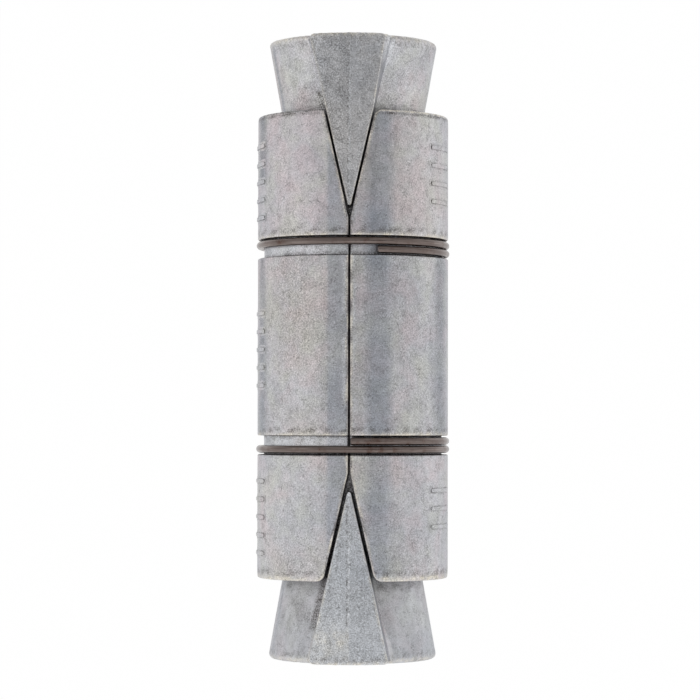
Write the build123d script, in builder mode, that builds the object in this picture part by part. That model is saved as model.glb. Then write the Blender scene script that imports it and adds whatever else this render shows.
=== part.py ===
from build123d import *
import os
from math import cos, radians, sin, tan

# Double expansion shield anchor for a 3/4 in bolt in a 1-1/4 in hole, as it is supplied.
# Two cast half shells meet at a seam and are held together by two rings of steel wire.
# A cast cone stands out of each end: the upper one has a plain bore for the bolt, the lower
# one is threaded. Each cone has a wedge fin front and back that slides in a V notch at the seam.
# Tightening the bolt draws both cones in, and the two shells move apart to the left and right.
# Millimetres, +Z up. The origin is the centre of the threaded cone's big end, and the seam
# is seen from the front, along +Y.

# Bolt, and from it outwards the walls and clearances that give every diameter
bolt_diameter = 19.05
bolt_clearance = 0.275
thread_depth = 1.195
cone_nose_wall = 0.75
cone_nose_clearance = 0.35
shell_wall = 4.6

# Shield
shield_length = 74.7
seam_gap = 0.24
notch_corner_radius = 1.5
shell_edge_radius = 0.3
seat_edge_chamfer = 0.4

# Grooves round the shield for the wire rings
groove_width = 3.05
groove_depth = 1.05
groove_from_end = 21.5

# Wire rings: angles run from the front seam to the right, and so round the shield
wire_diameter = 1.22
strand_pitch = 1.32
wire_floor_gap = 0.03
upper_ring_start = 17.0
lower_ring_start = 1.0
ring_cross_start = 185.0
ring_cross_end = 260.0
ring_end = 500.0

# Cones, each measured from its big end
cone_half_angle = 10.2
cone_taper_length = 17.5
cone_length = 31.5
cone_rim_radius = 0.8
cone_nose_rounding = 0.25
plain_bore_chamfer = 0.6
thread_chamfer = 1.3

# Fins on the cones, just inside the shield's outer cylinder
fin_inset = 0.03
fin_base_width = 13.1
fin_half_angle = 12.9
fin_tip_radius = 0.45
fin_edge_radius = 0.3

# Places at rest, travel and clearances
plain_cone_standout = 12.2
threaded_cone_standout = 13.1
cone_travel = 5.0
seat_clearance = 0.15
fin_end_gap = 0.055

# Worked out from the sizes above
plain_bore_radius = bolt_diameter / 2 + bolt_clearance
thread_core_radius = bolt_diameter / 2 - thread_depth
cone_nose_radius = plain_bore_radius + cone_nose_wall
shield_bore_radius = cone_nose_radius + cone_nose_clearance
shield_radius = shield_bore_radius + shell_wall
fin_radius = shield_radius - fin_inset
shield_base = threaded_cone_standout
shield_top = shield_base + shield_length
total_length = shield_top + plain_cone_standout
groove_levels = (shield_base + groove_from_end, shield_top - groove_from_end)
cone_slope = tan(radians(cone_half_angle))
fin_slope = tan(radians(fin_half_angle))
cone_big_radius = cone_nose_radius + cone_taper_length * cone_slope
shell_travel = cone_travel * cone_slope

# The seats fit the cones when these are fully drawn in
drawn_standout = plain_cone_standout - cone_travel
seat_mouth_radius = cone_big_radius - drawn_standout * cone_slope + seat_clearance
seat_depth = (seat_mouth_radius - shield_bore_radius) / cone_slope

# A fin's gap in its notch closes as the cone is drawn in, and fin_end_gap is what is left
fin_rest_gap = fin_end_gap + cone_travel * (fin_slope - cone_slope)
fin_mouth_half_width = fin_base_width / 2 - plain_cone_standout * fin_slope
notch_half_width = fin_mouth_half_width + fin_rest_gap
notch_depth = notch_half_width / fin_slope


def on_shield_cylinder(edge):
    """True for an edge that runs along the shield's outer cylinder."""
    points = [edge.position_at(t) for t in (0.0, 0.25, 0.5, 0.75, 1.0)]
    return all(abs(Vector(p.X, p.Y).length - shield_radius) < 0.001 for p in points)


def round_spot(angle, radius, level):
    """The point at an angle from the front seam, going right."""
    turn = radians(angle - 90)
    return Vector(radius * cos(turn), radius * sin(turn), level)


def shell_half():
    """The half of the shield on the right, +X."""
    with BuildPart() as shell:
        with BuildSketch(Plane.XY.offset(shield_base)):
            Circle(shield_radius)
            Circle(shield_bore_radius, mode=Mode.SUBTRACT)
        extrude(amount=shield_length)

        for level in groove_levels:
            with BuildSketch(Plane.XY.offset(level)):
                Circle(shield_radius + groove_depth)
                Circle(shield_radius - groove_depth, mode=Mode.SUBTRACT)
            extrude(amount=groove_width / 2, both=True, mode=Mode.SUBTRACT)

        # The seat's axis is where the cone's axis comes to lie once this half has moved out
        for level, inward in ((shield_base, 1), (shield_top, -1)):
            with BuildSketch(Plane.XY.offset(level)):
                with Locations((-shell_travel, 0)):
                    Circle(seat_mouth_radius)
            with BuildSketch(Plane.XY.offset(level + inward * seat_depth)):
                with Locations((-shell_travel, 0)):
                    Circle(shield_bore_radius)
            loft(mode=Mode.SUBTRACT)
        seat_edges = shell.edges().filter_by(GeomType.CIRCLE).filter_by(
            lambda edge: abs(edge.radius - seat_mouth_radius) < 0.001
        )
        chamfer(seat_edges, seat_edge_chamfer)

        with BuildSketch(Plane.XZ):
            for level, inward in ((shield_base, 1), (shield_top, -1)):
                with BuildLine():
                    Polyline(
                        (-notch_half_width, level),
                        (0, level + inward * notch_depth),
                        (notch_half_width, level),
                        close=True,
                    )
                make_face()
        extrude(amount=2 * shield_radius, both=True, mode=Mode.SUBTRACT)

        split(bisect_by=Plane.YZ.offset(seam_gap / 2), keep=Keep.TOP)
        corners = shell.edges().filter_by(Axis.Y).group_by(Axis.Z)
        fillet(corners[0] + corners[-1], notch_corner_radius)
        fillet(shell.edges().filter_by(on_shield_cylinder), shell_edge_radius)
    return shell


def fin_pair():
    """The wedge fins front and back, as one bar right through the cone."""
    with BuildPart() as fins:
        with BuildSketch(Plane.XZ) as wedge:
            with BuildLine():
                Polyline(
                    (-fin_base_width / 2, 0),
                    (fin_base_width / 2, 0),
                    (0, fin_base_width / 2 / fin_slope),
                    close=True,
                )
            make_face()
            fillet(wedge.vertices().sort_by(Axis.Y)[-1], fin_tip_radius)
        extrude(amount=2 * fin_radius, both=True)
        with BuildSketch(Plane.XY):
            Circle(fin_radius)
        extrude(amount=cone_length, mode=Mode.INTERSECT)
        long_edges = fins.edges().filter_by(lambda edge: edge.bounding_box().size.Z > 1)
        fillet(long_edges + fins.edges().group_by(Axis.Z)[0], fin_edge_radius)
    return fins


def expander_cone(bore_radius, bore_chamfer, nose_chamfered):
    """A cone with its fins, standing on its big end at z = 0. The bore's nose end is chamfered
    as its big end is if nose_chamfered is True."""
    fins = fin_pair()
    with BuildPart() as cone:
        with BuildSketch(Plane.XZ) as section:
            with BuildLine():
                Polyline(
                    (0, 0),
                    (cone_big_radius, 0),
                    (cone_nose_radius, cone_taper_length),
                    (cone_nose_radius, cone_length),
                    (0, cone_length),
                    close=True,
                )
            make_face()
            fillet(section.vertices().sort_by(Axis.X)[-1], cone_rim_radius)
            nose = section.vertices().group_by(Axis.Y)[-1].sort_by(Axis.X)[-1]
            fillet(nose, cone_nose_rounding)
        revolve(axis=Axis.Z)
        add(fins.part)
        with BuildSketch(Plane.XY):
            Circle(bore_radius)
        extrude(amount=cone_length, mode=Mode.SUBTRACT)
        bore_edges = cone.edges().filter_by(GeomType.CIRCLE).filter_by(
            lambda edge: abs(edge.radius - bore_radius) < 0.001
        )
        chamfer(bore_edges if nose_chamfered else bore_edges.group_by(Axis.Z)[0], bore_chamfer)
    return cone


def wire_ring(level, start, long_strand):
    """A ring of one and a third turns. long_strand is 1 if the strand that shows all round
    lies on the groove's upper side and -1 if it lies on the lower side."""
    radius = shield_radius - groove_depth + wire_floor_gap + wire_diameter / 2
    low, high = level - strand_pitch / 2, level + strand_pitch / 2
    handle = 4 / 3 * tan(radians(ring_cross_end - ring_cross_start) / 4)
    with BuildPart() as ring:
        with BuildLine() as path:
            CenterArc((0, 0, low), radius, start - 90, ring_cross_start - start)
            leave = round_spot(ring_cross_start, radius, low)
            arrive = round_spot(ring_cross_end, radius, high)
            Bezier(
                leave,
                leave + round_spot(ring_cross_start + 90, radius * handle, 0),
                arrive - round_spot(ring_cross_end + 90, radius * handle, 0),
                arrive,
            )
            CenterArc((0, 0, high), radius, ring_cross_end - 90, ring_end - ring_cross_end)
        spine = path.wire()
        with BuildSketch(Plane(origin=spine @ 0, z_dir=spine % 0)):
            Circle(wire_diameter / 2)
        sweep(path=spine)
        if long_strand < 0:
            mirror(about=Plane.XY.offset(level), mode=Mode.REPLACE)
    return ring


os.makedirs("parts", exist_ok=True)

right_half = shell_half()
right_half.part.label = "shield_half_right"
export_step(right_half.part, "parts/shield_half_right.step")

with BuildPart() as left_half:
    add(right_half.part)
    mirror(about=Plane.YZ, mode=Mode.REPLACE)
left_half.part.label = "shield_half_left"
export_step(left_half.part, "parts/shield_half_left.step")

threaded_cone = expander_cone(thread_core_radius, thread_chamfer, True)
threaded_cone.part.label = "threaded_expander_cone"
export_step(threaded_cone.part, "parts/threaded_expander_cone.step")

plain_cone = expander_cone(plain_bore_radius, plain_bore_chamfer, False)
with BuildPart() as upper_cone:
    with Locations(Location((0, 0, total_length), (180, 0, 0))):
        add(plain_cone.part)
upper_cone.part.label = "plain_expander_cone"
export_step(upper_cone.part, "parts/plain_expander_cone.step")

lower_ring = wire_ring(groove_levels[0], lower_ring_start, -1)
lower_ring.part.label = "lower_wire_ring"
export_step(lower_ring.part, "parts/lower_wire_ring.step")

upper_ring = wire_ring(groove_levels[1], upper_ring_start, 1)
upper_ring.part.label = "upper_wire_ring"
export_step(upper_ring.part, "parts/upper_wire_ring.step")
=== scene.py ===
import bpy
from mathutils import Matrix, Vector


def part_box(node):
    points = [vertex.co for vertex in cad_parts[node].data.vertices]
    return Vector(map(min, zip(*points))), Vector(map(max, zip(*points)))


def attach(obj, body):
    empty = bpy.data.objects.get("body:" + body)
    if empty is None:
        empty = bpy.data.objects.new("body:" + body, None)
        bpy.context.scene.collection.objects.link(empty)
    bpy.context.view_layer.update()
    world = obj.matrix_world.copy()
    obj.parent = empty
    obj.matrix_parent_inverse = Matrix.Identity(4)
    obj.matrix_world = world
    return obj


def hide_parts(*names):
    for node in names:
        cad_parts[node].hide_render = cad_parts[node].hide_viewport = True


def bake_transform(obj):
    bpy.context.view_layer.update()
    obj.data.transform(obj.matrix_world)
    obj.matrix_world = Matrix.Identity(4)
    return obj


bl_info = {
    "name": "Double Expansion Shield Anchor",
    "version": (1, 0, 0),
    "blender": (4, 5, 0),
    "location": "View3D > Sidebar > Anchor",
    "description": "Builds a die-cast zinc expansion shield anchor with its wire rings and cones",
    "category": "Add Mesh",
}

from functools import reduce
from math import atan2, cos, pi, radians, sin, tan

import bmesh
import bpy
import numpy as np
from bpy.props import FloatProperty, FloatVectorProperty, PointerProperty
from bpy.types import Operator, Panel, PropertyGroup
from mathutils import Matrix

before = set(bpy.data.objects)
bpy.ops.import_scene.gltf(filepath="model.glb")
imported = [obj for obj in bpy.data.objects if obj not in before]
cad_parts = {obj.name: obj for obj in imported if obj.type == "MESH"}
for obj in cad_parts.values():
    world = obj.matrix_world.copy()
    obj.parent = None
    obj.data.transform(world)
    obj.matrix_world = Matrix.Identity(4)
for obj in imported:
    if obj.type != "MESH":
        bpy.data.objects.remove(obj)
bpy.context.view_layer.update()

MM = 0.001

# Points nearer than this are one, and edges sharper than this are drawn sharp
MERGE_DISTANCE = 0.0002 * MM
SHARP_ANGLE = radians(40)

# What a point tells the material, each from 0 to 1: edges rubbed bright, with painted highlights on
# those that face down; sheltered metal, with painted highlights beside the fins' roots; the coarser
# skin of fins and insides; bluish metal, with a painted dark reflection down the shield's outer
# sides; rosy metal; and dirt, with painted shade in gaps, grooves, corners and on edges that face up
MARKS = ("wear", "bright", "shade", "cool", "rosy", "grime")

# Sizes of the patterns that break up wear, dirt and the painted highlights and shade: spots, the
# shield's wider spots, and stretches of an edge on the fins and on the shield
SPOT = 1.1 * MM
WIDE_SPOT = 1.9 * MM
SHORT_STRETCH = 3 * MM
LONG_STRETCH = 5 * MM

# What sets the left and right halves apart
SHIELD_LOOKS = {
    # Bluish band along the seam: strength, place, half width and softness of its border
    "cool": (0.55, 0.65),
    "cool_at": (1.75 * MM, 4.8 * MM),
    "cool_half_width": (1.75 * MM, 2.0 * MM),
    "cool_edge": (0.6 * MM, 1.8 * MM),
    # Painted dark reflection down the outer side, as a dull bluish band: place, width, and strength above the
    # upper groove
    "limb_at": (18.6 * MM, 18.1 * MM),
    "limb_width": (1.9 * MM, 2.5 * MM),
    "limb_above": (1.3, 0.0),
    # Lips rubbed bright and given a painted highlight, as they face down, clean groove floors and a bright
    # upper edge
    "lip_wear": (0.9, 1.25),
    "groove_light": (0.88, 0.3),
    "top_light": (0.1, 1.0),
    # Rosy metal above the upper groove, and a beige film between the grooves
    "rosy_above": (0.9, 0.1),
    "beige": (1.0, 0.0),
}

# What sets the lower and upper cones apart
CONE_LOOKS = {
    # On the cone: how crisp its rim is, where the painted shade left of a fin starts, the painted
    # highlight beside a fin's root, how bluish it is all over, and a narrow bluish line to the left
    "crisp_rim": (0.0, 0.5),
    "corner_shade_from": (5.2 * MM, 8.8 * MM),
    "root_highlight": (0.0, 0.8),
    "cool": (0.3, 0.0),
    "run": (0.5, 0.9),
    # On a fin: how much one flank slopes outwards and how bright its painted highlight is, how much
    # darker the face is, dust and painted shade near the shield, bluish metal at the end, and a pale
    # patch at the foot
    "face_cut": (0.25 * MM, 0.8 * MM),
    "flank_highlight": (0.3, 1.0),
    "face_darkening": (0.0, 0.38),
    "shelf_dust_and_shade": (0.14, 0.0),
    "end_cool": (0.0, 0.35),
    "pale_foot": (0.5, 0.0),
}

# The room's brightness by compass direction in degrees, 0 at the camera's side and 90 at +X, and by
# height, from straight down at -1 to straight up at 1
ROOM_BY_COMPASS = (
    (-180, 1.0),
    (-110, 1.0),
    (-90, 0.73),
    (-62, 0.54),
    (-45, 0.49),
    (-27, 0.43),
    (0, 0.2),
    (28, 0.0),
    (53, 0.0),
    (75, 0.3),
    (92, 0.93),
    (110, 1.1),
    (180, 1.0),
)
ROOM_BY_HEIGHT = ((-1, 0.7), (0, 0.7), (0.35, 0.74), (0.7, 0.6), (1, 0.55))

# The frame gives the places: the halves, the cones and the rings at rest
HALF_LOW, HALF_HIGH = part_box("shield_half_right")
LOWER_CONE_LOW, LOWER_CONE_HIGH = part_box("threaded_expander_cone")
LOWER_RING_LOW, LOWER_RING_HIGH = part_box("lower_wire_ring")
UPPER_RING_LOW, UPPER_RING_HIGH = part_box("upper_wire_ring")

SHIELD_RADIUS = HALF_HIGH.x
SEAM_HALF_GAP = HALF_LOW.x
SHIELD_BASE = HALF_LOW.z
SHIELD_TOP = HALF_HIGH.z
FIN_RADIUS = LOWER_CONE_HIGH.y
CONE_LENGTH = LOWER_CONE_HIGH.z - LOWER_CONE_LOW.z
TOTAL_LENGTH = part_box("plain_expander_cone")[1].z
GROOVE_LEVELS = (
    (LOWER_RING_LOW.z + LOWER_RING_HIGH.z) / 2,
    (UPPER_RING_LOW.z + UPPER_RING_HIGH.z) / 2,
)
RING_OUTER_RADIUS = UPPER_RING_HIGH.x
RING_HEIGHT = UPPER_RING_HIGH.z - UPPER_RING_LOW.z


def length(name, millimetres, description):
    """A property that holds a length, with its default in millimetres."""
    return FloatProperty(
        name=name, description=description, default=millimetres * MM, unit="LENGTH", precision=5
    )


def angle(name, degrees, description):
    """A property that holds an angle, with its default in degrees."""
    return FloatProperty(name=name, description=description, default=radians(degrees), unit="ROTATION")


def linear(hex_colour):
    """An sRGB hex colour as linear red, green and blue: each channel is divided by 12.92 where it
    is very dark, and follows the 2.4 power curve elsewhere."""
    channels = np.array([int(hex_colour[i : i + 2], 16) / 255 for i in (1, 3, 5)])
    return tuple(np.where(channels <= 0.04045, channels / 12.92, ((channels + 0.055) / 1.055) ** 2.4))


def colour(name, hex_colour, description):
    """A property that holds a colour, with its default as an sRGB hex value."""
    return FloatVectorProperty(
        name=name, description=description, default=linear(hex_colour), subtype="COLOR", min=0, max=1
    )


class AnchorSizes(PropertyGroup):
    """Sizes that the frame's boxes don't give."""

    # Shield halves
    bore_radius: length("Shield bore radius", 10.9, "Inside of the shield between the seats")
    seat_mouth_radius: length("Seat mouth radius", 12.554, "Radius of the conical seat at the shield's end")
    seat_shift: length("Seat shift", 0.9, "How far the seat's axis lies beyond the shield's axis")
    seat_chamfer: length("Seat chamfer", 0.4, "Chamfer where a seat meets the shield's end")
    edge_radius: length("Shield edge radius", 0.3, "Rounding of the shield's outer edges")
    notch_half_width: length("Notch half width", 4.056, "Half the notch's width at the shield's end")
    mouth_radius: length("Notch mouth radius", 1.5, "Rounding where a notch opens at the shield's end")
    crisp_mouth_radius: length("Crisp mouth radius", 0.55, "The same at the upper left, which is crisper")
    groove_width: length("Groove width", 3.05, "Width of the grooves for the wire rings")
    groove_depth: length("Groove depth", 1.05, "Depth of the grooves for the wire rings")
    groove_edge_radius: length("Groove edge radius", 0.22, "Rounding of the grooves' outer edges")
    groove_corner_radius: length("Groove corner radius", 0.2, "Rounding of the grooves' inner corners")
    casting_wave: length("Casting unevenness", 0.035, "How far the cast skin waves in and out")
    end_lumps: length("End lumps", 0.14, "How rough the castings' end edges are")

    # Cones and fins
    cone_big_radius: length("Cone big end radius", 13.699, "Radius of a cone's big end before rounding")
    cone_nose_radius: length("Cone nose radius", 10.55, "Radius of a cone's cylindrical nose")
    cone_taper_length: length("Cone taper length", 17.5, "Length of a cone's taper from its big end")
    cone_rim_radius: length("Cone rim radius", 0.8, "Rounding of a cone's big end")
    cone_nose_rounding: length("Cone nose rounding", 0.25, "Rounding of a cone's nose")
    plain_bore_radius: length("Plain bore radius", 9.8, "Bore of the upper cone")
    plain_bore_chamfer: length("Plain bore chamfer", 0.6, "Chamfer of the upper cone's bore")
    thread_core_radius: length("Thread core radius", 8.33, "Radius to the crests of the inside thread")
    thread_depth: length("Thread depth", 1.195, "Depth of the inside thread")
    thread_pitch: length("Thread pitch", 2.54, "Rise of the thread in one turn")
    thread_chamfer: length("Thread chamfer", 1.3, "Chamfer at both ends of the thread")
    fin_base_width: length("Fin base width", 13.1, "Width of a fin at the cone's big end")
    fin_half_angle: angle("Fin half angle", 12.9, "Half the angle of a fin's wedge and of its notch")
    upper_tip_radius: length("Upper fin tip radius", 0.34, "Rounding of the upper fins' tips")
    lower_tip_radius: length("Lower fin tip radius", 0.38, "Rounding of the lower fins' tips")
    fin_edge_radius: length("Fin edge radius", 0.34, "Rounding of a fin's edges")
    fin_corner_radius: length("Fin corner radius", 0.9, "Rounding of a fin's corners at the big end")
    fin_root_radius: length("Fin root radius", 0.7, "Fillet between a fin and its cone")
    fin_flare: length("Fin root flare", 1.1, "How much one fillet grows towards the big end")
    standout: length("Cone standout", 12.2, "How far a cone stands out of the shield")
    fin_end_recess: length("Fin end recess", 0.02, "How far a fin's end lies back from the cone's end")
    fin_ridge: length("Fin parting ridge", 0.07, "Height of the parting line along a fin's middle")
    fin_sink: length("Fin sink", 0.4, "How far a fin's foot is sunk in its cone")

    # Wire rings
    wire_diameter: length("Wire diameter", 1.22, "Diameter of the rings' wire")
    wire_end_chamfer: length("Wire end chamfer", 0.09, "Broken edge at the wire's cut ends")
    upper_ring_start: angle("Upper ring start", 17, "Where the upper ring's wire begins, from the seam")
    lower_ring_start: angle("Lower ring start", 1, "Where the lower ring's wire begins, from the seam")
    ring_cross_start: angle("Ring crossing start", 185, "Where a ring's wire starts to cross its groove")
    ring_cross_end: angle("Ring crossing end", 260, "Where a ring's wire has crossed its groove")
    ring_end: angle("Ring end", 500, "Where a ring's wire ends")

    # Raised bars
    bar_height: length("Raised bar height", 0.17, "How far the bars stand out of the casting")
    bar_width: length("Raised bar width", 0.62, "Width of a raised bar")
    bar_length: length("Raised bar length", 7.0, "Length of a raised bar")
    bar_pitch: length("Raised bar pitch", 2.9, "Distance between raised bars")
    # The border holds dirt and painted shade round the bar's foot
    bar_border: length("Raised bar border", 0.45, "Width of the dirty border round a raised bar")


class AnchorColours(PropertyGroup):
    """Colours of the castings and the wire."""

    zinc: colour("Cast zinc", "#CCCBCE", "Main grey of the as-cast skin")
    zinc_warm: colour("Warm zinc", "#D0C9C4", "Warm patches of the skin")
    # Cool zinc also paints the dark reflection down the shield halves' outer sides
    zinc_cool: colour("Cool zinc", "#9AA1AD", "Dull bluish bands and patches of the skin")
    zinc_rosy: colour("Rosy zinc", "#D5C6C9", "Faintly rosy patches of the skin")
    zinc_yellow: colour("Yellowish zinc", "#CBCDC3", "Faintly yellowish patches of the skin")
    zinc_dark: colour("Dark zinc", "#5B5A59", "Pits in the skin")
    # Worn zinc also paints the highlight on edges that face down, such as the shield's lips and foot
    zinc_worn_and_highlight: colour("Worn zinc", "#EEE7D8", "Edges rubbed bright")
    # Sheltered zinc also paints the highlights beside the fins' roots and on a fin's flared flank
    zinc_bright: colour("Sheltered zinc", "#DADCE0", "Groove floors, which the rings keep clean")
    upper_fin: colour("Upper fin faces", "#CFCECF", "The upper fins' coarser skin, and the castings' insides")
    lower_fin: colour("Lower fin faces", "#C8CBD0", "The lower fins' coarser, bluer skin")
    # Dirt also gives the colour of painted shade: in gaps, grooves, corners, at fin roots and on edges that
    # face up
    dirt_and_shade: colour("Dirt", "#4B4641", "Dirt in corners and along edges")
    wire: colour("Ring wire", "#706561", "Drawn steel wire, gone brown")
    wire_rubbed: colour("Rubbed wire", "#968B86", "Where the wire is rubbed")
    wire_rust: colour("Rusted wire", "#573F36", "Rust in the wire's drawing lines")


def look_of(looks, index):
    """One casting's look, from a table of two: index is 0 for the left or lower one, and else 1."""
    return {name: values[index] for name, values in looks.items()}


def sweep_steps(count, start=0.0, end=1.0):
    """Evenly spaced values from start to end."""
    return np.linspace(start, end, count)


def bunched_steps(count, start, end, bunching):
    """Values from start to end that lie closer together at both ends: even steps less a share,
    bunching, of one turn of a sine."""
    share = sweep_steps(count)
    return start + (end - start) * (share - bunching * np.sin(2 * pi * share) / (2 * pi))


def near(distance, width):
    """1 at no distance, falling off as a bell curve of this width."""
    return np.exp(-((distance / width) ** 2))


def ramp(value, start, width):
    """0 up to start, then rising evenly to 1 over this width. It rises downwards where the width
    is negative."""
    return np.clip((value - start) / width, 0, 1)


def strongest(*marks):
    """The largest of several marks at each point."""
    return reduce(np.maximum, marks)


def casting_wave(seed, across, along, wavelength):
    """A gentle unevenness from 0 to 1: the mean of ten sine waves of about one wavelength, each
    turned and shifted at random, halved and lifted by a half."""
    dice = np.random.default_rng(seed)
    turn, shift = dice.uniform(0, 2 * pi, (2, 10, 1, 1))
    stretch = dice.uniform(0.7, 1.4, (10, 1, 1))
    waves = np.sin(
        2 * pi / (wavelength * stretch) * (np.cos(turn) * across + np.sin(turn) * along) + shift
    )
    return 0.5 + 0.5 * waves.mean(axis=0)


def patchy(seed, across, along, wavelength):
    """The same unevenness with its contrast raised: flat 0 and flat 1 with soft borders between."""
    return ramp(casting_wave(seed, across, along, wavelength), 0.4, 0.2)


def rounding(count, radius):
    """A quarter round as inset and depth: it starts level, radius away from the edge, and ends
    radius deep, at the edge."""
    turn = sweep_steps(count, 0, pi / 2)
    return radius * (1 - np.sin(turn)), radius * (1 - np.cos(turn))


def rounded_back(distance, radius):
    """How far a rounded corner lies back from a sharp one, at a distance from the end: radius less
    the other side of a right triangle whose long side is the radius."""
    left = np.clip(radius - distance, 0, radius)
    return radius - np.sqrt(radius**2 - left**2)


def about_axis(radius, turn, side=1):
    """x and y of points at a radius and a turn from the front: the radius times the turn's sine,
    to the right or, where side is -1, to the left, and less the radius times its cosine."""
    return side * radius * np.sin(turn), -radius * np.cos(turn)


def surface(x, y, z, lines=None, **marks):
    """One grid surface: its points, its marks for the material, 0 where none is given, and where
    along and round the piece each point lies, if the material follows that."""
    x, y, z, *levels = np.broadcast_arrays(x, y, z, *(marks.get(mark, 0.0) for mark in MARKS))
    return np.stack([x, y, z], axis=-1), np.stack(levels, axis=-1), lines


def grid_faces(rows, columns):
    """The four corners of each cell of a grid whose points are numbered row by row."""
    row = np.arange(rows - 1)[:, None] * columns
    column = np.arange(columns - 1)[None, :]
    corner = row + column
    return np.stack([corner, corner + 1, corner + columns + 1, corner + columns], axis=-1).reshape(-1, 4)


def add_piece(name, surfaces, material):
    """Joins grid surfaces to one closed mesh object: points that meet are merged, faces are turned
    outwards, and sharp edges are drawn sharp."""
    points, marks, faces, lines = [], [], [], []
    count = 0
    for grid, grid_marks, grid_lines in surfaces:
        rows, columns = grid.shape[:2]
        cells = grid_faces(rows, columns)
        points.append(grid.reshape(-1, 3))
        marks.append(grid_marks.reshape(-1, len(MARKS)))
        faces.append(cells + count)
        if grid_lines is not None:
            lines.append(grid_lines.reshape(-1, 2)[cells.ravel()])
        count += rows * columns
    mesh = bpy.data.meshes.new(name)
    mesh.from_pydata(np.concatenate(points), [], np.concatenate(faces).tolist())
    for index, mark in enumerate(MARKS):
        layer = mesh.attributes.new(mark, "FLOAT", "POINT")
        layer.data.foreach_set("value", np.ascontiguousarray(np.concatenate(marks)[:, index]))
    if lines:
        layer = mesh.uv_layers.new(name="along_wire")
        layer.uv.foreach_set("vector", np.concatenate(lines).ravel())

    work = bmesh.new()
    work.from_mesh(mesh)
    bmesh.ops.remove_doubles(work, verts=work.verts, dist=MERGE_DISTANCE)
    bmesh.ops.recalc_face_normals(work, faces=work.faces)
    work.to_mesh(mesh)
    work.free()
    mesh.polygons.foreach_set("use_smooth", np.ones(len(mesh.polygons), bool))
    mesh.set_sharp_from_angle(angle=SHARP_ANGLE)
    mesh.materials.append(material)
    piece = bpy.data.objects.new(name, mesh)
    bpy.context.scene.collection.objects.link(piece)
    return piece


def mouth_round(sizes, inset, mouth_radius, turn):
    """Part of the rounding where a notch opens, moved into the metal by inset: a circle of the
    mouth's radius that touches the shield's end and the notch's flank. Gives x from the seam plane
    and the depth from the shield's end."""
    lean = sizes.fin_half_angle
    centre = sizes.notch_half_width + mouth_radius * (1 - sin(lean)) / cos(lean)
    radius = mouth_radius - inset
    return centre + radius * np.cos(turn), mouth_radius + radius * np.sin(turn)


def mouth_middle(lean):
    """The angle of the middle of a mouth's rounding, half way from the shield's end to the flank."""
    return (lean - 3 * pi / 2) / 2


def notch_side(sizes, inset, mouth_radius):
    """One side of a notch, moved into the metal by inset: round half of the mouth's rounding,
    then down the straight flank to the apex. Gives x from the seam plane and the depth from the
    shield's end."""
    lean = sizes.fin_half_angle
    turn = sweep_steps(6, mouth_middle(lean), lean - pi)
    x_round, depth_round = mouth_round(sizes, inset, mouth_radius, turn)
    apex_x = SEAM_HALF_GAP + inset
    apex_depth = (inset - (apex_x - sizes.notch_half_width) * cos(lean)) / sin(lean)
    x_flank = sweep_steps(36, x_round[-1], apex_x)[1:]
    depth_flank = sweep_steps(36, depth_round[-1], apex_depth)[1:]
    return np.concatenate([x_round, x_flank]), np.concatenate([depth_round, depth_flank])


def round_from_x(x):
    """Distance round the shield's outside at a distance x from the seam plane."""
    return SHIELD_RADIUS * np.arcsin(x / SHIELD_RADIUS)


def end_edge(sizes, inset, front_radius, back_radius):
    """A half's end edge, moved into the metal by inset, from the middle of the front mouth's
    rounding to that of the back one. Gives the distance round the shield and the depth."""
    turn = sweep_steps(6, mouth_middle(sizes.fin_half_angle), -pi / 2)
    (front_x, front_depth), (back_x, back_depth) = (
        mouth_round(sizes, inset, radius, turn) for radius in (front_radius, back_radius)
    )
    front, back = round_from_x(front_x), round_from_x(back_x)
    half_turn = pi * SHIELD_RADIUS
    straight = bunched_steps(150, front[-1], half_turn - back[-1], 0.7)[1:-1]
    return (
        np.concatenate([front, straight, half_turn - back[::-1]]),
        np.concatenate([front_depth, np.full(straight.shape, inset), back_depth[::-1]]),
    )


def groove_rows(sizes, level):
    """A groove's section as height and depth, from below to above: rounded edge, wall, rounded
    corner, floor, and the same back out."""
    half = sizes.groove_width / 2
    inset, edge_depth = rounding(6, sizes.groove_edge_radius)
    corner_turn = sweep_steps(5, 0, pi / 2)
    corner = sizes.groove_corner_radius
    corner_in = corner * (1 - np.cos(corner_turn))
    corner_depth = sizes.groove_depth - corner + corner * np.sin(corner_turn)
    wall_depth = sweep_steps(4, edge_depth[-1], corner_depth[0])[1:-1]
    height = np.concatenate([-half - inset, np.full(2, -half), -half + corner_in])
    depth = np.concatenate([edge_depth, wall_depth, corner_depth])
    floor = sweep_steps(7, -half + corner, half - corner)[1:-1]
    return (
        level + np.concatenate([height, floor, -height[::-1]]),
        np.concatenate([depth, np.full(floor.shape, sizes.groove_depth), depth[::-1]]),
    )


def seam_rows(sizes):
    """Heights and depths of the rows along the seam, from the lower groove to the upper one."""
    (low_height, low_depth), (high_height, high_depth) = (
        groove_rows(sizes, level) for level in GROOVE_LEVELS
    )
    middle = bunched_steps(84, low_height[-1], high_height[0], 0.85)[1:-1]
    return (
        np.concatenate([low_height, middle, high_height]),
        np.concatenate([low_depth, np.zeros(middle.shape), high_depth]),
    )


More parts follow.
